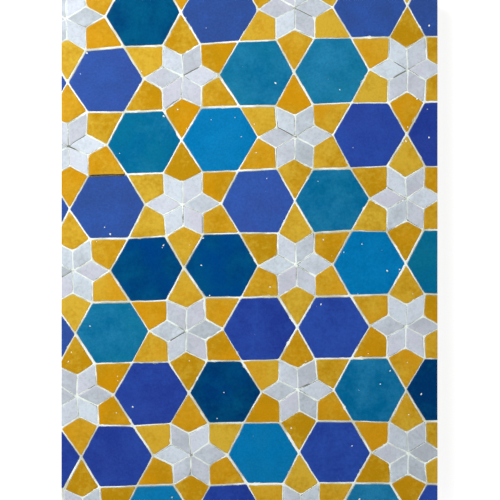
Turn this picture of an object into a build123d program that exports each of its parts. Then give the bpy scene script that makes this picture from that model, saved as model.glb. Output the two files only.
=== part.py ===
"""Rectangular pool-tile panel: hand-cut glazed tesserae set in a white cement bed.

Hexagons, kites and rhombi make a six-pointed star pattern. Every tessera is one fired piece, cut to its own
cell of the pattern, and the bed is one casting that backs all of them and fills the joints. The panel lies
face up on z = 0, with the middle of its back at the origin, its width along X and its length along Y.
"""

import math
import os
import random

from build123d import *

# Panel, in millimetres
panel_width = 300.0
panel_length = 400.0
bed_under = 9.0  # cement behind the tesserae
tessera_thickness = 11.0
joint_recess = 0.7  # the joints lie this far below the glazed faces

# Pattern
hexagon_side = 29.4  # side of a hexagon's cell, from joint centre to joint centre
pattern_turn = 0.7  # degrees
pattern_shift_x = 37.1  # from the panel's middle to the star nearest to it
pattern_shift_y = -11.6

# Laying by eye: how far the pattern drifts off a true one at drift_span from its middle star
drift_span = 160.0
row_climb = 1.3  # rows climb to the right
row_close = -1.0  # rows stand closer than they should
row_crowd = 1.5  # more so towards the bottom
row_bow = -1.6  # the ends of a row drop
row_fan = 1.9  # rows climb more towards the top
column_crowd = -1.7  # columns stand closer towards the right
column_bow = 1.2
column_fan = 3.2  # columns spread towards the top
corner_drift = 0.9  # most that a shared corner is off its place

# Cutting: each shape is cut this far inside its cell, so two neighbours share a joint
hexagon_gap = 0.72
kite_gap = 0.65
rhombus_gap = 0.45
side_lean = 4.0  # degrees that the sides lean in towards the back
face_break = 0.3  # broken edge of the glazed face
notch_nip_least = 0.4  # a kite's blunt corner is nipped off, on some kites more than on others
notch_nip_most = 1.9
narrowest_offcut = 2.5  # thinner offcuts at the sawn edges are left out

# Cutting and setting by hand: the largest departures, as shares of the gap in plan, which together stay
# below 1 so that no piece leaves its cell, and as shares of the free height at the joint
side_share = 0.55  # a side is cut this much nearer to the cell's edge, or farther in
slant_share = 0.2  # and each of its ends this much more
height_share = 0.4
tilt_share = 0.35
hand = random.Random(7)

# Glaze of each row's hexagons from left to right, from the top row down
glaze_plan = ["PCCC", "CCTT", "TAUU", "CCCT", "PPAT", "CTUU", "UPTP", "UUAU", "AUTU"]
glazes = {"A": "azure", "C": "cobalt", "P": "petrol", "T": "teal", "U": "ultramarine"}

face_level = bed_under + tessera_thickness
joint_level = face_level - joint_recess
row_pitch = math.sqrt(3) * hexagon_side
star_column_pitch = 3 * hexagon_side
star_arm = hexagon_side / math.sqrt(3)  # side of a rhombus, and short side of a kite
tip_across = hexagon_side * math.cos(math.radians(30))  # from a star's middle to the line of two tips
middle_row = len(glaze_plan) // 2  # the row of the plan that holds the middle star
middle_letter = len(glaze_plan[0]) // 2  # the middle star stands before this letter
set_corners = {}


def hexagon_outline():
    """Cell of a hexagon about its own middle."""
    return [polar(hexagon_side, 60 * corner) for corner in range(6)]


def kite_outline():
    """Cell of a kite about a star's middle, pointing along +X: notch, tip, apex, tip."""
    half = hexagon_side / 2
    return [(star_arm, 0), (tip_across, -half), (2 * tip_across, 0), (tip_across, half)]


def rhombus_outline():
    """Cell of a rhombus about a star's middle, pointing along +X: star's middle, notch, tip, notch."""
    half = star_arm / 2
    return [(0, 0), (hexagon_side / 2, -half), (hexagon_side, 0), (hexagon_side / 2, half)]


def polar(radius, degrees):
    return (radius * math.cos(math.radians(degrees)), radius * math.sin(math.radians(degrees)))


def turned(point, degrees):
    return polar(math.hypot(*point), math.degrees(math.atan2(point[1], point[0])) + degrees)


def play(largest):
    return hand.uniform(-largest, largest)


def moved_by_hand(point, largest):
    """A point moved in any direction, by the largest distance at most."""
    x, y = polar(largest * math.sqrt(hand.random()), hand.uniform(0, 360))
    return (point[0] + x, point[1] + y)


def in_panel(across, up):
    """A point of the true pattern, counted from its middle star, where it is laid by eye in the panel."""
    u, v = across / drift_span, up / drift_span
    drift_across = column_crowd * u * u + column_fan * u * v + column_bow * v * v
    drift_up = row_climb * u + row_close * v + row_bow * u * u + row_fan * u * v + row_crowd * v * v
    x, y = turned((across + drift_across, up + drift_up), pattern_turn)
    return (x + pattern_shift_x, y + pattern_shift_y)


def set_corner(across, up):
    """A corner of the pattern, set by hand once for all the cells that share it."""
    name = (round(across, 3), round(up, 3))
    if name not in set_corners:
        set_corners[name] = moved_by_hand(in_panel(across, up), corner_drift)
    return set_corners[name]


def cell(outline, origin, degrees):
    """Corners in the panel of an outline that is turned about an origin in the pattern."""
    around = [turned(corner, degrees) for corner in outline]
    return [set_corner(origin[0] + x, origin[1] + y) for x, y in around]


def cut_line(start, end, gap):
    """The line along which one side of a piece is cut, inside its side of the cell."""
    inward = (end - start).rotate(Axis.Z, 90).normalized() * gap
    side_cut = 1 + play(side_share)
    return start + inward * (side_cut + play(slant_share)), end + inward * (side_cut + play(slant_share))


def meeting(first, second):
    """Where two lines cross."""
    along = first[1] - first[0]
    across = second[1] - second[0]
    return first[0] + along * ((second[0] - first[0]).cross(across).Z / along.cross(across).Z)


def cut_corners(corners, gap):
    """Corners of a piece in its cell, where the cuts along its sides meet."""
    around = [Vector(x, y) for x, y in corners]
    cuts = [cut_line(start, end, gap) for start, end in zip(around, around[1:] + around[:1])]
    return [meeting(before, after) for before, after in zip(cuts[-1:] + cuts[:-1], cuts)]


def tessera(corners, gap, notch_nip=0):
    """One piece, shaped face down inside its cell as it is cut, then turned over and set in its place."""
    middle_x = sum(x for x, _ in corners) / len(corners)
    middle_y = sum(y for _, y in corners) / len(corners)
    face_down = [(cut.X - middle_x, middle_y - cut.Y) for cut in reversed(cut_corners(corners, gap))]
    face = Polygon(*face_down, align=None).face()
    if notch_nip:
        for nips in (1, 2):
            notch = face.vertices().sort_by_distance(face_down[-1])[:nips]
            face = chamfer(notch, notch_nip / nips).face()
    body = extrude(face, tessera_thickness, taper=side_lean)
    body = chamfer(body.faces().sort_by(Axis.Z)[0].edges(), face_break)
    reach = max(math.hypot(x, y) for x, y in face_down)
    free_height = joint_recess - face_break
    tilt = math.degrees(tilt_share * free_height / reach)
    place = Pos(middle_x, middle_y, face_level + play(height_share * free_height))
    return body.solid().rotate(Axis.X, 180).moved(place * Rot(play(tilt), play(tilt)))


def hexagon_glaze(row, column, which):
    """Name of the glaze for the first or second hexagon to the right of a star."""
    letters = glaze_plan[(middle_row - row) % len(glaze_plan)]
    return glazes[letters[(middle_letter + column + row % 2 + which) % len(letters)]]


def cells():
    """Every cell of the pattern near the panel, as (node, corners, gap, whether its notch is nipped)."""
    reach = math.hypot(panel_width, panel_length) / 2 + math.hypot(pattern_shift_x, pattern_shift_y)
    rows = math.ceil(reach / row_pitch) + 1
    columns = math.ceil(reach / star_column_pitch) + 2
    for row in range(rows, -rows - 1, -1):
        for column in range(-columns, columns + 1):
            if (row - column) % 2:
                continue
            star = (column * star_column_pitch, row * row_pitch)
            for which in (0, 1):
                middle = (star[0] + 2 * (which + 1) * hexagon_side, star[1])
                glaze = hexagon_glaze(row, column, which)
                yield f"{glaze}_hexagons", cell(hexagon_outline(), middle, 0), hexagon_gap, False
            for arm in range(6):
                yield "white_rhombi", cell(rhombus_outline(), star, 60 * arm), rhombus_gap, False
                yield "ochre_kites", cell(kite_outline(), star, 60 * arm + 30), kite_gap, True


def off_the_panel(corners):
    """Whether a cell lies wholly past one of the sawn edges."""
    across = [x for x, _ in corners]
    up = [y for _, y in corners]
    past_side = min(across) > panel_width / 2 or max(across) < -panel_width / 2
    return past_side or min(up) > panel_length / 2 or max(up) < -panel_length / 2


def sawn_to(block, solid):
    """The part of a tessera that is left inside the sawn panel, or None where it is too thin to keep."""
    box, room = solid.bounding_box(), block.bounding_box()
    if box.max.X <= room.min.X or box.min.X >= room.max.X:
        return None
    if box.max.Y <= room.min.Y or box.min.Y >= room.max.Y:
        return None
    crosses = box.min.X < room.min.X or box.max.X > room.max.X
    crosses = crosses or box.min.Y < room.min.Y or box.max.Y > room.max.Y
    if not crosses:
        return solid
    offcut = solid & block
    if not offcut or min(offcut.bounding_box().size.X, offcut.bounding_box().size.Y) < narrowest_offcut:
        return None
    return offcut.solid()


def build():
    stand = (Align.CENTER, Align.CENTER, Align.MIN)
    block = Box(panel_width, panel_length, 2 * face_level, align=stand)
    nodes = {}
    sockets = []
    for node, corners, gap, nipped in cells():
        if off_the_panel(corners):
            continue
        notch_nip = hand.uniform(notch_nip_least, notch_nip_most) if nipped else 0
        solid = tessera(corners, gap, notch_nip)
        kept = sawn_to(block, solid)
        if kept is not None:
            nodes.setdefault(node, []).append(kept)
            sockets.append(solid)
    bed = Box(panel_width, panel_length, joint_level, align=stand).cut(*sockets)
    nodes["mortar_bed"] = [bed.solid()]
    return nodes


os.makedirs("parts", exist_ok=True)
for name, solids in build().items():
    export_step(Compound(children=solids), f"parts/{name}.step")
    print(name, len(solids))
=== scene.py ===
"""Looks of the mosaic panel: glazed tesserae in a rubbed white cement bed, face up on a white floor.

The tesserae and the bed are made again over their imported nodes, which give each outline, height and tilt.
What is added here is the nipped edge, the rolled glaze, the cement that laps it, and the finishes.
"""

import math

import bmesh
import bpy
import numpy as np
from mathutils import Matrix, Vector
from mathutils.geometry import delaunay_2d_cdt


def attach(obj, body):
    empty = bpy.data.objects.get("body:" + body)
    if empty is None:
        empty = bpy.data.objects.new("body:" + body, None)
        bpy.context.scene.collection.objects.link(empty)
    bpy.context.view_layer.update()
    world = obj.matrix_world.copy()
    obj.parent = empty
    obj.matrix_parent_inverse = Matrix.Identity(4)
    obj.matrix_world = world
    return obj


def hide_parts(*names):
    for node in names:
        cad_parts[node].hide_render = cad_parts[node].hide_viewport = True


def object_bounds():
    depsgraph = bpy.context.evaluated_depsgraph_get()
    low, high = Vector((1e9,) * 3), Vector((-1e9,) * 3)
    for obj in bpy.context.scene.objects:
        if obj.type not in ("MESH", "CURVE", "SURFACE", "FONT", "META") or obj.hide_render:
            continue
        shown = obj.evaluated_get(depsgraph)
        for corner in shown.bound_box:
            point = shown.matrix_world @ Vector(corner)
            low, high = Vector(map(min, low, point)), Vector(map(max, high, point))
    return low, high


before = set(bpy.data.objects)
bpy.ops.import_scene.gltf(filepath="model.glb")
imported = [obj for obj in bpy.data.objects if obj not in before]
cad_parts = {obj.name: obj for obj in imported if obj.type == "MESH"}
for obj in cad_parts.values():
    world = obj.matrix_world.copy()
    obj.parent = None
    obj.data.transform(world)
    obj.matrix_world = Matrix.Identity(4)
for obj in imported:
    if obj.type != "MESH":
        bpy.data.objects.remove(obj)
cad_low, cad_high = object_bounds()

mm = 0.001
noise_gain = 3.0  # noise mostly stays this many times closer to its middle than its ends

# Tesserae
tessera_thickness = 11 * mm
point_spacing = 1.4 * mm  # between the points of an outline
corner_nip = 0.8 * mm  # how far from a corner its rounding starts
corner_share = 0.4  # the most of a side that this takes
glaze_roll = 0.36 * mm  # the widest edge lies this far outside the outline of the flat face
roll_height = 0.39 * mm  # and this far below it
roll_inside = 0.5  # the roll starts inside that outline, at this share of glaze_roll
roll_steps = (0, 30, 60, 90)  # degrees round the rolled edge, from its widest line up to the flat face
lean_inset = 0.6 * mm  # how much narrower a tessera is at its back
edge_wander = 0.24 * mm  # how far the nipped edges wander
wander_fade = (1 * mm, 7 * mm)  # the wander dies out between these distances inside the edge
slow_bend = 10 * mm  # size of their slow bends
slow_gain = 3.0
quick_bend = 3.2 * mm  # and of their quick ones
quick_gain = 1.5
face_ripple = 0.07 * mm  # how far the glazed faces swell and sink
ripple_size = 15 * mm
ripple_fade = (0.4 * mm, 3 * mm)  # the ripple grows between these distances inside the edge
ripple_shift = (1.0, 1.6, 0.7)  # takes each tessera's ripple from another place
face_rings = (0.93, 0.82, 0.66, 0.48, 0.3, 0.12)  # rings across a face, as shares of its inner radius
glaze_line = 0.65 * mm  # the clay shows this far below a face
row_height = 5 * mm  # faces whose middles are this close count as one row

# Bed
brink_width = 0.03 * mm  # a joint starts this far outside a tessera's widest edge
brink_drop = 0.15 * mm  # and this far below its face
joint_hollow = 0.12 * mm  # the middle of a joint lies this much lower still
joint_lumps = 0.12 * mm  # how far the rubbed joints rise and sink
wide_lump = 9 * mm
fine_lump = 2 * mm
joint_sink = 2.2 * mm  # how far the cement has crumbled out of the open joint
lap_reach = 1.1 * mm  # how far the cement smears reach over the edges
lap_stand = 0.05 * mm  # how far they stand off the glaze
smear_patch = 14 * mm  # size of the stretches that have smears
smear_size = 3.5 * mm
wall_drop = 0.55 * mm  # the cement follows the tessera's side down from here
pocket_play = 0.02 * mm
joint_spacing = 1.0 * mm  # between the points along the middle of a joint
saw_allowance = 4 * mm  # what stands past the sawn edges until they are cut
bed_allowance = 5 * mm

# Slack for welding and cutting, and for finding what lies on a sawn edge
weld_slack = 0.001 * mm
merge_slack = 0.0005 * mm
cut_slack = 0.0001 * mm
saw_slack = 0.01 * mm

# Joints that stand out on the panel, by their middles
open_joint = (-113 * mm, 59 * mm)  # its cement has fallen out, along one side of a hexagon
open_joint_reach = (16 * mm, 4 * mm)
open_joint_rim = (0.2 * mm, 0.6 * mm)  # the painted shade on the tesserae's rims beside it dies out between these distances
near_share = 0.75  # such a place is whole out to this share of its reach
# joints with painted shade lines along them, by their middles
shade_lined_joints = [
    (-46.3 * mm, 142.6 * mm), (-57.5 * mm, -68.3 * mm), (43.9 * mm, 189.3 * mm), (118.2 * mm, 143.6 * mm),
    (28.8 * mm, 94.3 * mm), (-136.6 * mm, 87.9 * mm), (-61.5 * mm, 116.6 * mm), (-37.5 * mm, 20.4 * mm),
]
shade_lined_reach = (8 * mm, 8 * mm)
shade_lined_share = 0.8  # how dark their painted shade lines are
painted_shade_patch = 17 * mm  # size of the stretches of painted shade lines beside all the rhombi
painted_shade_most = 0.85  # and how dark those are
painted_shade_shift = (0.9, 1.3, 0)  # takes each tessera's painted shade lines from another place
piece_step = 0.618  # as many times as its number

# Cement flecks on the glaze
fleck_least = 0.3 * mm
fleck_most = 0.9 * mm
flecks_per_square_metre = 2300
fleck_patch = 40 * mm
fleck_long_least = 0.8  # a fleck's length, width and height, as shares of its size
fleck_long_most = 1.5
fleck_wide = 0.85
fleck_high = 0.4
fleck_seed = 3
full_turn = 6.28

# Glazes: the darkest and lightest firing, the tint that some of it drifts to, the roughness, and a seed
glazes = {
    "azure": ((0, 113, 173), (10, 126, 189), (22, 118, 166), 0.16, 3675),
    "cobalt": ((48, 78, 147), (51, 90, 174), (56, 80, 161), 0.16, 929),
    "petrol": ((2, 52, 100), (4, 86, 125), (0, 64, 134), 0.14, 841),
    "teal": ((4, 100, 149), (38, 128, 174), (14, 114, 144), 0.16, 48),
    "ultramarine": ((34, 59, 147), (44, 79, 170), (46, 68, 153), 0.16, 2114),
    "ochre": ((185, 138, 15), (211, 175, 57), (210, 147, 12), 0.2, 8),
    "white": ((176, 185, 193), (210, 222, 233), (206, 205, 221), 0.28, 6),
}
nodes_of_glaze = {
    "azure": "azure_hexagons",
    "cobalt": "cobalt_hexagons",
    "petrol": "petrol_hexagons",
    "teal": "teal_hexagons",
    "ultramarine": "ultramarine_hexagons",
    "ochre": "ochre_kites",
    "white": "white_rhombi",
}
clay_buff = (205, 182, 150)
cement_white = (244, 252, 247)
cement_stain = (194, 194, 165)
cement_body = (228, 225, 217)
sand_grey = (168, 160, 146)
# dark painted shade, for the shadow lines in some joints and the shade in the open joint
painted_shade_dark = (44, 40, 38)

# How a glaze varies over a tessera
glaze_shift = (1.1, 1.9, 0.6)  # takes each tessera's clouds from another place
cast_step = 100  # from the seed of the tones to that of the drift
firing_cloud = 17 * mm
cloud_strength = 1.9  # how far the clouds take the firing off a tessera's own tone
mottle_size = 3 * mm
mottle_strength = {"ochre": 1.6}  # the same for the mottle
plain_mottle = 0.9
drift_cloud = 26 * mm
drift_least = 0.2
drift_most = 0.9
pool_size = 1.6 * mm
pool_depth = {"ochre": 0.25, "white": 0.2}  # how much darker the glaze is where it pools
plain_pool = 0.5
pinhole_spacing = 6 * mm
pinhole_radius = 0.24 * mm
pinhole_share = 0.12  # of the places that have one
pinhole_depth = 0.06 * mm
pinhole_tint = 0.7  # how much of the clay's colour shows in them
swell_size = 5 * mm
swell_height = 0.035 * mm
peel_height = 0.012 * mm  # of the glaze's orange peel
gloss_play = 0.14  # how far the roughness varies
glaze_ior = 1.5
glaze_end = 0.08 * mm  # the glaze thins out this far above and below its line
ragged_size = 3 * mm
ragged_reach = 0.1 * mm  # how far that line strays
clay_roughness = 0.9
grit_size = 0.9 * mm
grit_height = 0.12 * mm
grit_shade = 0.8  # the dark grit, as a share of the clay's colour

# What shows at the rim of a glaze: its colour, its share, and how far it reaches in
clay_rim = (clay_buff, 0.1, 0.7 * mm)
cement_rim = (cement_white, 0.6, 0.45 * mm)  # rubbed over the rims of the white rhombi

# Cement
cement_roughness = (0.82, 0.95)
cement_specular = 0.3
cement_grain = 0.7 * mm
grain_height = 0.08 * mm
grain_stain = 0.2
stain_patch = 22 * mm
stain_most = 0.8
body_cloud = 45 * mm
sand_spacing = 2.2 * mm
sand_radius = 0.5 * mm
sand_share = 0.4
sand_height = 0.05 * mm
sand_tint = 0.55
hole_spacing = 9 * mm
hole_radius = 0.9 * mm
hole_share = 0.35
hole_depth = 0.35 * mm
hole_shift = (0.3, 0.1, 0.2)  # keeps the holes off the sand's places
rubbed_depth = 2 * mm  # the rubbed cement ends this far below the faces
rubbed_fade = 0.5 * mm

# Light and camera: straight above the panel, with the photograph's frame just inside its length
frame_height = 398.8 * mm
camera_height = 0.95
camera_right = 0.4 * mm
sensor_width = 36.0
sky_tint = (0.97, 0.985, 1.0, 1)
sky_low = 1.04  # brightness of the sky half-way up
sky_top = 0.0  # and straight above the panel
sky_fade = (0.5, 0.93)  # heights between which it fades, with 1 straight up
low_share = 0.25  # how bright the sky is just above the white backdrop, as a share of sky_low
backdrop_fade = (0.1, 0.2)  # heights between which the white backdrop at the horizon ends
key_watts = 6.95
key_place = (-0.5, 0.375, 0.68)
key_size = 0.5
key_tint = (1.0, 0.985, 0.95)
floor_half = 4.0
floor_drop = 0.1 * mm
floor_shade = (0.36, 0.36, 0.36, 1)  # takes the panel's shadow
floor_white = (1, 1, 1, 1)
floor_glow = 0.8  # makes the rest of it white
floor_bounce = (0.55, 0.55, 0.55, 1)  # what it throws back at the panel

half_width = cad_high.x
half_length = cad_high.y
face_level = cad_high.z


class Wiring:
    """A node tree, with short ways to add its nodes and join them."""

    def __init__(self, tree):
        self.tree = tree

    def add(self, kind, joins=None, **settings):
        node = self.tree.nodes.new(kind)
        for name, value in settings.items():
            setattr(node, name, value)
        for socket, value in (joins or {}).items():
            self.join(node.inputs[socket], value)
        return node

    def join(self, socket, value):
        if isinstance(value, bpy.types.NodeSocket):
            self.tree.links.new(value, socket)
        else:
            socket.default_value = value

    def math(self, operation, *values):
        return self.add("ShaderNodeMath", dict(enumerate(values)), operation=operation).outputs[0]

    def vector(self, operation, *values):
        return self.add("ShaderNodeVectorMath", dict(enumerate(values)), operation=operation).outputs[0]

    def scaled(self, vector, factor):
        joins = {"Vector": vector, "Scale": factor}
        return self.add("ShaderNodeVectorMath", joins, operation="SCALE").outputs[0]

    def length(self, vector):
        return self.add("ShaderNodeVectorMath", {0: vector}, operation="LENGTH").outputs["Value"]

    def upright(self, height):
        return self.add("ShaderNodeCombineXYZ", {"Z": height}).outputs[0]

    def noise(self, where, lump, detail=2.0, output="Fac"):
        """Noise from 0 to 1, with lumps of about the given size."""
        joins = {"Vector": where, "Scale": 1 / lump, "Detail": detail}
        return self.add("ShaderNodeTexNoise", joins).outputs[output]

    def swing(self, where, lump, reach, detail=2.0):
        """Noise about 0, which mostly stays within the given reach."""
        centred = self.math("SUBTRACT", self.noise(where, lump, detail), 0.5)
        return self.math("MULTIPLY", centred, self.math("MULTIPLY", reach, noise_gain))

    def ramp(self, value, low, high, low_result=0.0, high_result=1.0):
        """A value eased from one result to the other as it goes from low to high."""
        joins = {"Value": value, "From Min": low, "From Max": high}
        joins |= {"To Min": low_result, "To Max": high_result}
        return self.add("ShaderNodeMapRange", joins, interpolation_type="SMOOTHSTEP").outputs[0]


class Shaping(Wiring):
    """A geometry tree that takes and gives one geometry, with named inputs for its sizes."""

    def __init__(self, name, **inputs):
        super().__init__(bpy.data.node_groups.new(name, "GeometryNodeTree"))
        sockets = self.tree.interface
        sockets.new_socket("Geometry", in_out="INPUT", socket_type="NodeSocketGeometry")
        for label, kind in inputs.items():
            sockets.new_socket(label, in_out="INPUT", socket_type=f"NodeSocket{kind}")
        sockets.new_socket("Geometry", in_out="OUTPUT", socket_type="NodeSocketGeometry")
        self.given = self.add("NodeGroupInput").outputs

    def attribute(self, name, data_type="FLOAT"):
        return self.add("GeometryNodeInputNamedAttribute", {"Name": name}, data_type=data_type).outputs[0]

    def position(self):
        return self.add("GeometryNodeInputPosition").outputs[0]

    def plan(self):
        return self.vector("MULTIPLY", self.position(), (1, 1, 0))

    def chance(self, seed, least=0.0, most=1.0):
        """A random number for each element."""
        joins = {2: least, 3: most, "Seed": seed}
        return self.add("FunctionNodeRandomValue", joins, data_type="FLOAT").outputs[1]

    def store(self, shape, name, value, domain, selection=True):
        joins = {"Geometry": shape, "Selection": selection, "Name": name, "Value": value}
        settings = {"data_type": "FLOAT", "domain": domain}
        return self.add("GeometryNodeStoreNamedAttribute", joins, **settings).outputs[0]

    def moved(self, shape, offset):
        return self.add("GeometryNodeSetPosition", {"Geometry": shape, "Offset": offset}).outputs[0]

    def together(self, *shapes):
        whole = self.add("GeometryNodeJoinGeometry")
        for shape in shapes:
            self.join(whole.inputs[0], shape)
        return whole.outputs[0]

    def stepped_in(self, shape, faces, before, after):
        """The edges of faces moved square to themselves, from one inset in their outline to another."""
        outward = self.scaled(self.attribute("outward", "FLOAT_VECTOR"), self.math("SUBTRACT", before, after))
        joins = {"Geometry": shape, "Selection": faces, "Offset": outward}
        return self.add("GeometryNodeSetPosition", joins).outputs[0]

    def drawn_in(self, shape, faces, scale):
        """Faces drawn in towards their middles."""
        across = self.vector("MULTIPLY", self.attribute("middle", "FLOAT_VECTOR"), (1, 1, 0))
        level = self.vector("MULTIPLY", self.position(), (0, 0, 1))
        middle = self.vector("ADD", across, level)
        joins = {"Geometry": shape, "Selection": faces, "Scale": scale, "Center": middle}
        return self.add("GeometryNodeScaleElements", joins).outputs[0]

    def raised(self, shape, faces, height):
        """Each face raised along its own direction. Gives the shape and its raised faces."""
        joins = {"Mesh": shape, "Selection": faces, "Offset Scale": height, "Individual": True}
        extruded = self.add("GeometryNodeExtrudeMesh", joins, mode="FACES").outputs
        return extruded["Mesh"], extruded["Top"]

    def near(self, place, reach):
        """1 around a place on the panel, and 0 past its reach across and along."""
        away = self.vector("DIVIDE", self.vector("SUBTRACT", self.plan(), (*place, 0)), (*reach, 1))
        return self.ramp(self.length(away), near_share, 1.0, 1.0, 0.0)

    def wander(self, reach):
        """Sideways wander of the nipped edges, the same for a tessera and for the cement beside it."""
        plan = self.plan()
        half = (0.5, 0.5, 0.5)
        slow = self.vector("SUBTRACT", self.noise(plan, slow_bend, 1, "Color"), half)
        quick = self.vector("SUBTRACT", self.noise(plan, quick_bend, 1, "Color"), half)
        both = self.vector("ADD", self.scaled(slow, slow_gain), self.scaled(quick, quick_gain))
        return self.scaled(self.vector("MULTIPLY", both, (1, 1, 0)), reach)

    def finish(self, shape):
        smooth = self.add("GeometryNodeSetShadeSmooth", {"Geometry": shape}).outputs[0]
        real = self.add("GeometryNodeRealizeInstances", {"Geometry": smooth}).outputs[0]
        joins = {"Geometry": real, "Material": self.given["Finish"]}
        self.add("NodeGroupOutput", {0: self.add("GeometryNodeSetMaterial", joins).outputs[0]})
        return self.tree


def grown(mesh, tree, **sizes):
    """The plain mesh that a geometry tree makes of another mesh."""
    holder = bpy.data.objects.new("holder", mesh)
    bpy.context.scene.collection.objects.link(holder)
    modifier = holder.modifiers.new("tree", "NODES")
    modifier.node_group = tree
    for socket in tree.interface.items_tree:
        if socket.in_out == "INPUT" and socket.name in sizes:
            modifier[socket.identifier] = sizes[socket.name]
    evaluated = holder.evaluated_get(bpy.context.evaluated_depsgraph_get())
    made = bpy.data.meshes.new_from_object(evaluated)
    for slot in reversed(range(len(made.materials))):
        if made.materials[slot] is None:
            made.materials.pop(index=slot)
    holder.modifiers.remove(modifier)
    bpy.data.objects.remove(holder)
    return made


def reading_order(corners):
    """A face's row from the top down, and its place from left to right."""
    return -round(corners[:, 1].mean() / row_height), corners[:, 0].mean()


def glazed_faces(node):
    """Corners of each tessera's glazed face, counter-clockwise from above, from the panel's top row down."""
    solids = bmesh.new()
    solids.from_mesh(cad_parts[node].data)
    bmesh.ops.remove_doubles(solids, verts=solids.verts, dist=weld_slack)
    facing_up = 0.99
    lower = [face for face in solids.faces if face.normal.z < facing_up]
    bmesh.ops.delete(solids, geom=lower, context="FACES")
    flat = math.radians(0.5)
    bmesh.ops.dissolve_limit(solids, angle_limit=flat, verts=solids.verts[:], edges=solids.edges[:])
    faces = [np.array([corner.co for corner in face.verts]) for face in solids.faces]
    solids.free()
    return sorted(faces, key=reading_order)


def past_the_saw(corners):
    """The same corners, carried on past the sawn edges, so that those can be sawn again later."""
    outward = np.zeros_like(corners)
    for axis, half in ((0, half_width), (1, half_length)):
        on_edge = np.abs(np.abs(corners[:, axis]) - half) < saw_slack
        outward[on_edge, axis] = np.sign(corners[on_edge, axis]) * saw_allowance
    sawn_corner = outward.any(axis=1)
    carried = []
    for index, corner in enumerate(corners):
        if not sawn_corner[index]:
            carried.append(corner)
        elif not sawn_corner[index - 1]:
            carried += [corner, corner + outward[index]]
        elif not sawn_corner[(index + 1) % len(corners)]:
            carried += [corner + outward[index], corner]
        else:
            carried.append(corner + outward[index])
    return np.array(carried)


def eased(side):
    """Where the rounding of a corner starts along one of its sides."""
    length = np.linalg.norm(side)
    return side / length * min(corner_nip, corner_share * length)


def drawn(corners):
    """The outline with its corners eased, and a point about every point_spacing."""
    line = []
    for before, corner, after in zip(np.roll(corners, 1, 0), corners, np.roll(corners, -1, 0)):
        start = corner + eased(before - corner)
        end = corner + eased(after - corner)
        line += [start, (start + 2 * corner + end) / 4, end]
    points = []
    for here, there in zip(line, line[1:] + line[:1]):
        steps = max(1, round(np.linalg.norm(there - here) / point_spacing))
        points += [here + (there - here) * step / steps for step in range(steps)]
    return np.array(points)


class Tessera:
    """The outline of one tessera's flat face, its middle, and the radius of the circle inside it."""

    def __init__(self, corners, shade_lined=False):
        # whether painted shade lines may run along this tessera's joints
        self.shade_lined = shade_lined
        self.outline = drawn(corners)
        ahead = np.roll(self.outline, -1, 0)
        lengths = np.linalg.norm(ahead - self.outline, axis=1)
        middle_of_line = ((self.outline + ahead) / 2 * lengths[:, None]).sum(0) / lengths.sum()
        here, there = self.outline - middle_of_line, ahead - middle_of_line
        wedges = here[:, 0] * there[:, 1] - there[:, 0] * here[:, 1]
        middle_of_area = middle_of_line + ((here + there) * wedges[:, None]).sum(0) / (3 * wedges.sum())
        self.inner_radius = wedges.sum() / lengths.sum()
        self.middle = 3 * middle_of_area - 2 * middle_of_line
        sides = (ahead - self.outline) / lengths[:, None]
        after = np.column_stack((sides[:, 1], -sides[:, 0], np.zeros(len(sides))))
        before = np.roll(after, 1, 0)
        self.outward = (before + after) / (1 + (before * after).sum(1))[:, None]

    def ring(self, inset, drop):
        """The outline moved in by an inset, and lowered by a drop."""
        return self.outline - self.outward * inset - np.array((0, 0, drop))


def flat_pieces(tesserae):
    """A mesh with one flat face for each tessera, which knows its own middle and inner radius."""
    faces, first = [], 0
    for tessera in tesserae:
        faces.append(range(first, first + len(tessera.outline)))
        first += len(tessera.outline)
    mesh = bpy.data.meshes.new("flat_pieces")
    mesh.from_pydata(np.vstack([tessera.outline for tessera in tesserae]), [], faces)
    radius = mesh.attributes.new("inner_radius", "FLOAT", "FACE")
    radius.data.foreach_set("value", [tessera.inner_radius for tessera in tesserae])
    middle = mesh.attributes.new("middle", "FLOAT_VECTOR", "FACE")
    middle.data.foreach_set("vector", np.array([tessera.middle for tessera in tesserae]).ravel())
    outward = mesh.attributes.new("outward", "FLOAT_VECTOR", "POINT")
    outward.data.foreach_set("vector", np.vstack([tessera.outward for tessera in tesserae]).ravel())
    return mesh


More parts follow.
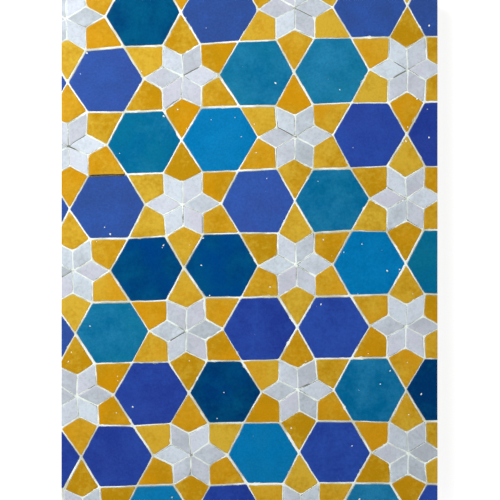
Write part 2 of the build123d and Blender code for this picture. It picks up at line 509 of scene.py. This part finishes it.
def tessera_tree():
    """A flat outline becomes a tessera: leaning sides, a rolled glaze edge, and rings across its face."""
    sizes = ("Thickness", "Lean", "Roll", "Roll Height", "Wander", "Ripple")
    tree = Shaping("tessera", **{size: "Float" for size in sizes}, Seed="Int", Finish="Material")
    given = tree.given
    shape = given["Geometry"]
    for name, shift in (("tone", 0), ("cast", cast_step)):
        shape = tree.store(shape, name, tree.chance(tree.math("ADD", given["Seed"], shift)), "FACE")
    shape = tree.moved(shape, tree.upright(tree.math("MULTIPLY", given["Thickness"], -1)))
    shape = tree.stepped_in(shape, True, 0.0, given["Lean"])
    shape = tree.store(shape, "rim", 0.0, "POINT")
    shape = tree.store(shape, "depth", given["Thickness"], "POINT")
    back = tree.add("GeometryNodeFlipFaces", {"Mesh": shape}).outputs[0]

    faces, last_depth, last_inset = True, given["Thickness"], given["Lean"]
    for degrees in roll_steps:
        turn = math.radians(degrees)
        depth = tree.math("MULTIPLY", given["Roll Height"], 1 - math.sin(turn))
        inset = tree.math("MULTIPLY", given["Roll"], roll_inside - (1 + roll_inside) * math.cos(turn))
        shape, faces = tree.raised(shape, faces, tree.math("SUBTRACT", last_depth, depth))
        shape = tree.stepped_in(shape, faces, last_inset, inset)
        shape = tree.store(shape, "rim", tree.math("ADD", inset, given["Roll"]), "POINT", faces)
        shape = tree.store(shape, "depth", depth, "POINT", faces)
        last_depth, last_inset = depth, inset
    last_share = 1.0
    for share in face_rings:
        shape, faces = tree.raised(shape, faces, 0.0)
        shape = tree.drawn_in(shape, faces, share / last_share)
        inset = tree.math("MULTIPLY", tree.attribute("inner_radius"), 1 - share)
        shape = tree.store(shape, "rim", tree.math("ADD", inset, given["Roll"]), "POINT", faces)
        last_share = share

    joins = {"Geometry": tree.together(back, shape), "Distance": merge_slack}
    shape = tree.add("GeometryNodeMergeByDistance", joins).outputs[0]
    rim = tree.attribute("rim")
    near_edge = tree.ramp(rim, *wander_fade, 1.0, 0.0)
    shape = tree.moved(shape, tree.wander(tree.math("MULTIPLY", near_edge, given["Wander"])))
    own_place = tree.vector("ADD", tree.position(), tree.scaled(ripple_shift, tree.attribute("tone")))
    ripple = tree.swing(own_place, ripple_size, given["Ripple"], 1)
    inside = tree.ramp(rim, *ripple_fade)
    shape = tree.moved(shape, tree.upright(tree.math("MULTIPLY", ripple, inside)))
    # painted shade on the tesserae's rims beside the open joint
    at_the_rim = tree.ramp(rim, *open_joint_rim, 1.0, 0.0)
    painted_shade = tree.math("MULTIPLY", tree.near(open_joint, open_joint_reach), at_the_rim)
    return tree.finish(tree.store(shape, "painted_shade", painted_shade, "POINT"))


def sawn(mesh):
    """The mesh cut off at the panel's four edges, with flat sawn faces."""
    solid = bmesh.new()
    solid.from_mesh(mesh)
    kept = [layer for layer in map(solid.faces.layers.float.get, ("tone", "cast")) if layer]
    for axis, half in ((0, half_width), (1, half_length)):
        for side in (-1, 1):
            outward = Vector((0, 0, 0))
            outward[axis] = side
            parts = solid.verts[:] + solid.edges[:] + solid.faces[:]
            planes = {"plane_co": outward * half, "plane_no": outward}
            cut = bmesh.ops.bisect_plane(solid, geom=parts, dist=cut_slack, clear_outer=True, **planes)
            rims = [part for part in cut["geom_cut"] if isinstance(part, bmesh.types.BMEdge)]
            for face in bmesh.ops.edgeloop_fill(solid, edges=rims)["faces"]:
                face.normal_update()
                if face.normal.dot(outward) < 0:
                    face.normal_flip()
                face.smooth = False
                beside = next(other for other in face.edges[0].link_faces if other is not face)
                for layer in kept:
                    face[layer] = beside[layer]
                for edge in face.edges:
                    edge.smooth = False
    solid.to_mesh(mesh)
    solid.free()
    return mesh


class Bed:
    """The cement bed's mesh: joints between the tesserae, laps on their edges, pockets, and a flat back."""

    def __init__(self, tesserae):
        self.tesserae = tesserae
        brinks = [tessera.ring(-glaze_roll - brink_width, brink_drop) for tessera in tesserae]
        lips = [tessera.ring(-glaze_roll - pocket_play, roll_height) for tessera in tesserae]
        walls = [tessera.ring(-glaze_roll - pocket_play, wall_drop) for tessera in tesserae]
        bottom = tessera_thickness + pocket_play
        floors = [tessera.ring(lean_inset - pocket_play, bottom) for tessera in tesserae]
        self.count = sum(len(brink) for brink in brinks)
        self.points = [*np.vstack(brinks), *np.vstack(lips), *np.vstack(walls), *np.vstack(floors)]
        self.rings, first = [], 0
        for brink in brinks:
            self.rings.append(list(range(first, first + len(brink))))
            first += len(brink)
        self.owner = np.repeat(np.arange(len(brinks)), [len(brink) for brink in brinks])
        self.shade_lined = np.array([float(tessera.shade_lined) for tessera in tesserae])[self.owner]
        self.faces = []

    def level(self, layer, index):
        """The point of a lower ring that belongs to a point of the brink."""
        return layer * self.count + index

    def open_joints(self, extra):
        """Triangles that fill the plan between the tesserae, with extra points in it."""
        chosen = list(range(self.count)) + extra
        places = [Vector(self.points[index][:2]) for index in chosen]
        _, _, faces, origins, _, owners = delaunay_2d_cdt(places, [], self.rings, 0, cut_slack, True)
        return [
            [chosen[origins[corner][0]] for corner in face] for face, owner in zip(faces, owners) if not owner
        ]

    def middle_points(self, border):
        """Points along the middle of every joint, a little below its brinks, and how far each takes painted
        shade lines.
        """
        taken, middles, shade_lined = set(), [], []
        for face in self.open_joints(border):
            for one, other in zip(face, face[1:] + face[:1]):
                bridges = one < other < self.count and self.owner[one] != self.owner[other]
                if not bridges:
                    continue
                middle = (self.points[one] + self.points[other]) / 2 - np.array((0, 0, joint_hollow))
                cell = tuple(np.round(middle[:2] / joint_spacing).astype(int))
                if cell not in taken:
                    taken.add(cell)
                    middles.append(middle)
                    shade_lined.append((self.shade_lined[one] + self.shade_lined[other]) / 2)
        return middles, np.array(shade_lined)

    def block(self):
        """Corners of the bed's block past the sawn edges, on the joint level and on its back."""
        x, y = half_width + bed_allowance, half_length + bed_allowance
        corners = [(-x, -y), (x, -y), (x, y), (-x, y)]
        level = np.mean([self.points[index][2] for index in range(self.count)]) - joint_hollow
        first = len(self.points)
        self.points += [np.array((*corner, level)) for corner in corners]
        self.points += [np.array((*corner, 0.0)) for corner in corners]
        return list(range(first, first + 4)), list(range(first + 4, first + 8))

    def mesh(self):
        top, back = self.block()
        middles, middle_painted_shade = self.middle_points(top)
        first_middle = len(self.points)
        self.points += middles
        self.faces += self.open_joints(top + list(range(first_middle, len(self.points))))
        for ring in self.rings:
            for one, other in zip(ring, ring[1:] + ring[:1]):
                for layer in (0, 1, 2):
                    upper = [self.level(layer, one), self.level(layer, other)]
                    self.faces.append(upper + [self.level(layer + 1, other), self.level(layer + 1, one)])
            self.faces.append([self.level(3, index) for index in ring])
        for side in range(4):
            after = (side + 1) % 4
            self.faces.append([top[after], top[side], back[side], back[after]])
        self.faces.append(back[::-1])
        mesh = bpy.data.meshes.new("bed")
        mesh.from_pydata(self.points, [], self.faces)
        self.mark(mesh, first_middle, middle_painted_shade)
        return mesh

    def mark(self, mesh, first_middle, middle_painted_shade):
        """Marks the points of the joints, laps and edges, and all that sinks or wanders with them."""
        brink, lip, wall = (slice(ring * self.count, (ring + 1) * self.count) for ring in range(3))
        middle = slice(first_middle, None)
        rings = slice(4 * self.count)
        own_step = self.owner * piece_step
        names = ("joint", "lap", "edge", "sinks", "nipped", "piece")
        marks = {name: np.zeros(len(self.points)) for name in names}
        # edge: where painted shade lines may run, and where the stains stay off
        for name, part, value in (
            ("joint", brink, 0.5), ("joint", middle, 1.0),
            ("lap", lip, 1.0),
            ("edge", brink, self.shade_lined), ("edge", lip, self.shade_lined), ("edge", middle, middle_painted_shade),
            ("sinks", brink, 1.0), ("sinks", lip, 1.0), ("sinks", wall, 1.0), ("sinks", middle, 1.0),
            ("nipped", rings, 1.0), ("nipped", middle, 1.0),
            ("piece", brink, own_step), ("piece", lip, own_step),
        ):
            marks[name][part] = value
        for name, values in marks.items():
            mesh.attributes.new(name, "FLOAT", "POINT").data.foreach_set("value", values)
        outward = np.zeros((len(self.points), 3))
        outward[lip] = np.vstack([tessera.outward for tessera in self.tesserae])
        mesh.attributes.new("outward", "FLOAT_VECTOR", "POINT").data.foreach_set("vector", outward.ravel())


def rubbed_cement_tree():
    """The joints get their lumps, painted shade and crumbled places, and the laps smear over the edges beside
    them.
    """
    sizes = ("Wander", "Lumps", "Sink", "Lap", "Roll", "Roll Height", "Stand")
    tree = Shaping("rubbed_cement", **{size: "Float" for size in sizes}, Finish="Material")
    given = tree.given
    joint = tree.attribute("joint")
    wandering = tree.math("MULTIPLY", tree.attribute("nipped"), given["Wander"])
    shape = tree.moved(given["Geometry"], tree.wander(wandering))
    plan = tree.plan()
    fine = tree.math("MULTIPLY", given["Lumps"], 0.5)
    wide = tree.swing(plan, wide_lump, given["Lumps"], 1)
    lumps = tree.math("ADD", wide, tree.swing(plan, fine_lump, fine, 1))
    shape = tree.moved(shape, tree.upright(tree.math("MULTIPLY", lumps, joint)))
    smeared = tree.ramp(tree.noise(plan, smear_patch, 1), 0.5, 0.72)
    smear = tree.math("MULTIPLY", smeared, tree.ramp(tree.noise(plan, smear_size, 1), 0.4, 0.75))
    reach = tree.math("MULTIPLY", tree.math("MULTIPLY", smear, given["Lap"]), tree.attribute("lap"))
    stand = tree.math("ADD", given["Roll Height"], given["Stand"])
    rise = tree.ramp(reach, 0.0, tree.math("MULTIPLY", given["Roll"], 1 + roll_inside), 0.0, stand)
    over = tree.scaled(tree.attribute("outward", "FLOAT_VECTOR"), tree.math("MULTIPLY", reach, -1))
    shape = tree.moved(shape, tree.vector("ADD", over, tree.upright(rise)))
    crumbled = tree.math("MULTIPLY", tree.near(open_joint, open_joint_reach), tree.attribute("sinks"))
    # painted shade lines: stretches beside the rhombi, the listed joints, and the open joint
    beside = tree.vector("ADD", plan, tree.scaled(painted_shade_shift, tree.attribute("piece")))
    painted_shade = tree.ramp(tree.noise(beside, painted_shade_patch, 1), 0.54, 0.65, 0.0, painted_shade_most)
    for place in shade_lined_joints:
        painted_shade = tree.math("MAXIMUM", painted_shade, tree.math("MULTIPLY", tree.near(place, shade_lined_reach), shade_lined_share))
    painted_shade = tree.math("MULTIPLY", painted_shade, tree.attribute("edge"))
    shape = tree.store(shape, "painted_shade", tree.math("MAXIMUM", painted_shade, crumbled), "POINT")
    sunk = tree.math("MULTIPLY", crumbled, tree.math("MULTIPLY", given["Sink"], -1))
    return tree.finish(tree.moved(shape, tree.upright(sunk)))


def fleck_tree():
    """Small flattened drops of cement, scattered in patches over the glazed faces."""
    sizes = ("Density", "Least", "Most")
    tree = Shaping("cement_flecks", **{size: "Float" for size in sizes}, Seed="Int", Finish="Material")
    given = tree.given
    patches = tree.ramp(tree.noise(tree.plan(), fleck_patch, 1), 0.42, 0.7)
    density = tree.math("MULTIPLY", given["Density"], patches)
    joins = {"Mesh": given["Geometry"], "Density": density, "Seed": given["Seed"]}
    points = tree.add("GeometryNodeDistributePointsOnFaces", joins).outputs["Points"]
    drop = tree.add("GeometryNodeMeshIcoSphere", {"Radius": 1.0, "Subdivisions": 1}).outputs["Mesh"]
    size = tree.chance(1, given["Least"], given["Most"])
    spread = {"X": tree.chance(2, fleck_long_least, fleck_long_most), "Y": fleck_wide, "Z": fleck_high}
    scale = tree.scaled(tree.add("ShaderNodeCombineXYZ", spread).outputs[0], size)
    turn = tree.upright(tree.chance(3, 0.0, full_turn))
    joins = {"Points": points, "Instance": drop, "Scale": scale, "Rotation": turn}
    drops = tree.add("GeometryNodeInstanceOnPoints", joins).outputs[0]
    return tree.finish(tree.store(drops, "edge", 1.0, "INSTANCE"))


class Finish(Wiring):
    """A material, with its place on the object in metres and a principled surface to join its nodes to."""

    def __init__(self, name):
        self.material = bpy.data.materials.new(name)
        self.material.use_nodes = True
        super().__init__(self.material.node_tree)
        self.surface = self.tree.nodes["Principled BSDF"]
        self.place = self.add("ShaderNodeTexCoord").outputs["Object"]
        self.height = self.add("ShaderNodeSeparateXYZ", {0: self.place}).outputs["Z"]

    def attribute(self, name):
        return self.add("ShaderNodeAttribute", attribute_name=name).outputs["Fac"]

    def mixed(self, first, second, share):
        """Two colours, with the given share of the second."""
        joins = {0: share, 6: first, 7: second}
        return self.add("ShaderNodeMix", joins, data_type="RGBA").outputs[2]

    def relief(self, height):
        """Joins a height in metres to the surface as fine relief."""
        joins = {"Strength": 1.0, "Distance": 1.0, "Height": height}
        self.set("Normal", self.add("ShaderNodeBump", joins).outputs[0])

    def set(self, socket, value):
        self.join(self.surface.inputs[socket], value)

    def specks(self, where, spacing, radius, share):
        """1 inside round specks, of which the given share of the places at that spacing has one."""
        cells = self.add("ShaderNodeTexVoronoi", {"Vector": where, "Scale": 1 / spacing}).outputs
        draw = self.add("ShaderNodeSeparateColor", {0: cells["Color"]}).outputs[0]
        chosen = self.math("LESS_THAN", draw, share)
        inside = self.ramp(cells["Distance"], 0.7 * radius / spacing, radius / spacing, 1.0, 0.0)
        return self.math("MULTIPLY", inside, chosen)


def painted(red, green, blue):
    """A colour as the shaders take it, from its values on a screen."""
    shares = [value / 255 for value in (red, green, blue)]
    linear = [share / 12.92 if share <= 0.04045 else ((share + 0.055) / 1.055) ** 2.4 for share in shares]
    return (*linear, 1.0)


def glaze_finish(glaze, darkest, lightest, drift, roughness):
    """A dipped glaze: each tessera has its own firing, with clouds and pools in it, and bare clay below."""
    finish = Finish(f"{glaze}_glaze")
    rim_tint, rim_share, rim_reach = cement_rim if glaze == "white" else clay_rim
    mottling = mottle_strength.get(glaze, plain_mottle)
    pools = pool_depth.get(glaze, plain_pool)
    tone = finish.attribute("tone")
    rim = finish.attribute("rim")
    own_place = finish.vector("ADD", finish.place, finish.scaled(glaze_shift, tone))
    clouds = finish.noise(own_place, firing_cloud, 3)
    mottle = finish.noise(own_place, mottle_size, 3)
    firing = finish.math("MULTIPLY_ADD", finish.math("SUBTRACT", clouds, 0.5), cloud_strength, tone)
    firing = finish.math("MULTIPLY_ADD", finish.math("SUBTRACT", mottle, 0.5), mottling, firing)
    colour = finish.mixed(painted(*darkest), painted(*lightest), firing)
    drifting = finish.ramp(finish.noise(own_place, drift_cloud, 2), 0.3, 0.7, drift_least, drift_most)
    drifted = finish.math("MULTIPLY", drifting, finish.attribute("cast"))
    colour = finish.mixed(colour, painted(*drift), drifted)
    pooling = finish.math("MULTIPLY_ADD", finish.noise(own_place, pool_size, 2), -pools, 1 + pools / 2)
    colour = finish.add("ShaderNodeHueSaturation", {"Value": pooling, "Color": colour}).outputs[0]
    thin = finish.ramp(rim, 0.1 * mm, rim_reach, rim_share, 0.0)
    colour = finish.mixed(colour, painted(*rim_tint), thin)
    pinholes = finish.specks(own_place, pinhole_spacing, pinhole_radius, pinhole_share)
    colour = finish.mixed(colour, painted(*clay_buff), finish.math("MULTIPLY", pinholes, pinhole_tint))
    strays = finish.swing(finish.place, ragged_size, ragged_reach)
    ragged = finish.math("ADD", finish.attribute("depth"), strays)
    bare = finish.ramp(ragged, glaze_line - glaze_end, glaze_line + glaze_end)
    grit = finish.noise(finish.place, grit_size, 2)
    clay = finish.mixed(painted(*clay_buff), painted(*(grit_shade * part for part in clay_buff)), grit)
    # painted shade darkens the tesserae's rims beside the open joint
    colour = finish.mixed(finish.mixed(colour, clay, bare), painted(*painted_shade_dark), finish.attribute("painted_shade"))
    finish.set("Base Color", colour)
    gloss = finish.math("MULTIPLY_ADD", mottle, gloss_play, roughness - gloss_play / 2)
    finish.set("Roughness", finish.math("MAXIMUM", gloss, finish.math("MULTIPLY", bare, clay_roughness)))
    finish.set("IOR", glaze_ior)
    swell = finish.math("MULTIPLY", finish.noise(own_place, swell_size, 2), swell_height)
    orange_peel = finish.math("MULTIPLY", mottle, peel_height)
    pits = finish.math("MULTIPLY", pinholes, -pinhole_depth)
    rough_clay = finish.math("MULTIPLY", finish.math("MULTIPLY", bare, grit), grit_height)
    smooth = finish.math("ADD", finish.math("ADD", swell, orange_peel), pits)
    finish.relief(finish.math("ADD", smooth, rough_clay))
    return finish.material


def cement_finish():
    """White cement: rubbed and a little stained in the joints, with painted shade lines in some, and sandy on
    the sawn sides and the back.
    """
    finish = Finish("white_cement")
    place = finish.place
    grain = finish.noise(place, cement_grain, 3)
    stains = finish.ramp(finish.noise(place, stain_patch, 3), 0.4, 0.6, 0.0, stain_most)
    stained = finish.math("MULTIPLY", stains, finish.math("SUBTRACT", 1.0, finish.attribute("edge")))
    rubbed = finish.mixed(painted(*cement_white), painted(*cement_stain), stained)
    rubbed = finish.mixed(rubbed, painted(*cement_stain), finish.ramp(grain, 0.5, 0.75, 0.0, grain_stain))
    clouds = finish.ramp(finish.noise(place, body_cloud, 4), 0.35, 0.7)
    body = finish.mixed(painted(*cement_body), painted(*cement_stain), clouds)
    sand = finish.specks(place, sand_spacing, sand_radius, sand_share)
    body = finish.mixed(body, painted(*sand_grey), finish.math("MULTIPLY", sand, sand_tint))
    elsewhere = finish.vector("ADD", place, hole_shift)
    holes = finish.specks(elsewhere, hole_spacing, hole_radius, hole_share)
    body = finish.mixed(body, painted(*sand_grey), holes)
    below = face_level - rubbed_depth
    under = finish.ramp(finish.height, below, below + rubbed_fade, 1.0, 0.0)
    # painted shade lines in some joints and painted shade in the open joint
    rubbed = finish.mixed(rubbed, painted(*painted_shade_dark), finish.attribute("painted_shade"))
    finish.set("Base Color", finish.mixed(rubbed, body, under))
    finish.set("Roughness", finish.ramp(grain, 0.3, 0.7, *cement_roughness))
    finish.set("Specular IOR Level", cement_specular)
    sandy = finish.math("MULTIPLY_ADD", grain, grain_height, finish.math("MULTIPLY", sand, sand_height))
    pitted = finish.math("MULTIPLY", finish.math("MULTIPLY", holes, under), -hole_depth)
    finish.relief(finish.math("ADD", sandy, pitted))
    return finish.material


def piece(name, mesh, slot, *nodes):
    """A finished piece of the panel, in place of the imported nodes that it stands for."""
    made = bpy.data.objects.new(name, mesh)
    bpy.context.scene.collection.objects.link(made)
    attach(made, "root")
    if nodes:
        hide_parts(*nodes)
    return made


def white_floor():
    """A pale floor that looks white to the camera and keeps the panel's shadow."""
    half = floor_half
    mesh = bpy.data.meshes.new("floor")
    mesh.from_pydata([(-half, -half, 0), (half, -half, 0), (half, half, 0), (-half, half, 0)], [], [range(4)])
    floor = bpy.data.objects.new("floor", mesh)
    floor.location.z = -floor_drop
    bpy.context.scene.collection.objects.link(floor)
    paint = Finish("white_floor")
    paint.tree.nodes.remove(paint.surface)
    shaded = paint.add("ShaderNodeBsdfDiffuse", {"Color": floor_shade}).outputs[0]
    glow = paint.add("ShaderNodeEmission", {"Color": floor_white, "Strength": floor_glow}).outputs[0]
    seen = paint.add("ShaderNodeAddShader", {0: shaded, 1: glow}).outputs[0]
    plain = paint.add("ShaderNodeBsdfDiffuse", {"Color": floor_bounce}).outputs[0]
    rays = paint.add("ShaderNodeLightPath").outputs
    looked_at = paint.math("MAXIMUM", rays["Is Camera Ray"], rays["Is Glossy Ray"])
    looked_at = paint.math("MAXIMUM", looked_at, rays["Is Transmission Ray"])
    surface = paint.add("ShaderNodeMixShader", {0: looked_at, 1: plain, 2: seen}).outputs[0]
    paint.join(paint.tree.nodes["Material Output"].inputs["Surface"], surface)
    mesh.materials.append(paint.material)


def soft_light():
    """A pale sky, dark straight above the panel, and an upper left lamp that the glaze doesn't mirror."""
    world = bpy.data.worlds.new("studio")
    bpy.context.scene.world = world
    world.use_nodes = True
    sky = Wiring(world.node_tree)
    direction = sky.add("ShaderNodeTexCoord").outputs["Generated"]
    height = sky.add("ShaderNodeSeparateXYZ", {0: direction}).outputs["Z"]
    upper = sky.ramp(height, *sky_fade, sky_low, sky_top)
    lower = sky.ramp(height, 0.0, sky_fade[0], low_share, 1.0)
    backdrop = sky.ramp(height, *backdrop_fade, 1.0, 0.0)
    strength = sky.math("MAXIMUM", sky.math("MULTIPLY", upper, lower), backdrop)
    sky.join(world.node_tree.nodes["Background"].inputs["Strength"], strength)
    sky.join(world.node_tree.nodes["Background"].inputs["Color"], sky_tint)
    lamp = bpy.data.lights.new("key", "AREA")
    lamp.size = key_size
    lamp.energy = key_watts
    lamp.color = key_tint
    key = bpy.data.objects.new("key", lamp)
    key.location = key_place
    key.visible_glossy = False
    key.rotation_euler = (-key.location).to_track_quat("-Z", "Y").to_euler()
    bpy.context.scene.collection.objects.link(key)


def camera_above():
    """A camera straight above the panel."""
    lens = bpy.data.cameras.new("camera")
    lens.sensor_width = sensor_width
    lens.lens = sensor_width * camera_height / frame_height
    camera = bpy.data.objects.new("camera", lens)
    camera.location = (camera_right, 0, face_level + camera_height)
    bpy.context.scene.collection.objects.link(camera)
    bpy.context.scene.camera = camera


tessera_shape = tessera_tree()
tesserae = []
open_faces = []
for glaze, (darkest, lightest, drift, roughness, seed) in glazes.items():
    node = nodes_of_glaze[glaze]
    corners_of_each = glazed_faces(node)
    laid = [Tessera(past_the_saw(corners), glaze == "white") for corners in corners_of_each]
    tesserae += laid
    if glaze != "white":
        open_faces += [Tessera(corners) for corners in corners_of_each]
    sizes = {"Thickness": tessera_thickness, "Lean": lean_inset, "Roll": glaze_roll}
    sizes |= {"Roll Height": roll_height, "Wander": edge_wander, "Ripple": face_ripple}
    material = glaze_finish(glaze, darkest, lightest, drift, roughness)
    mesh = sawn(grown(flat_pieces(laid), tessera_shape, **sizes, Seed=seed, Finish=material))
    piece(f"glazed_{node}", mesh, f"{glaze}_glaze", node)

cement = cement_finish()
sizes = {"Lap": lap_reach, "Roll": glaze_roll, "Roll Height": roll_height, "Stand": lap_stand}
sizes |= {"Wander": edge_wander, "Lumps": joint_lumps, "Sink": joint_sink}
bed = sawn(grown(Bed(tesserae).mesh(), rubbed_cement_tree(), **sizes, Finish=cement))
piece("cement_bed", bed, "white_cement", "mortar_bed")
sizes = {"Least": fleck_least, "Most": fleck_most, "Density": flecks_per_square_metre}
flecks = grown(flat_pieces(open_faces), fleck_tree(), **sizes, Seed=fleck_seed, Finish=cement)
piece("cement_flecks", flecks, "white_cement")

white_floor()
soft_light()
camera_above()
bpy.context.scene.view_settings.view_transform = "Standard"
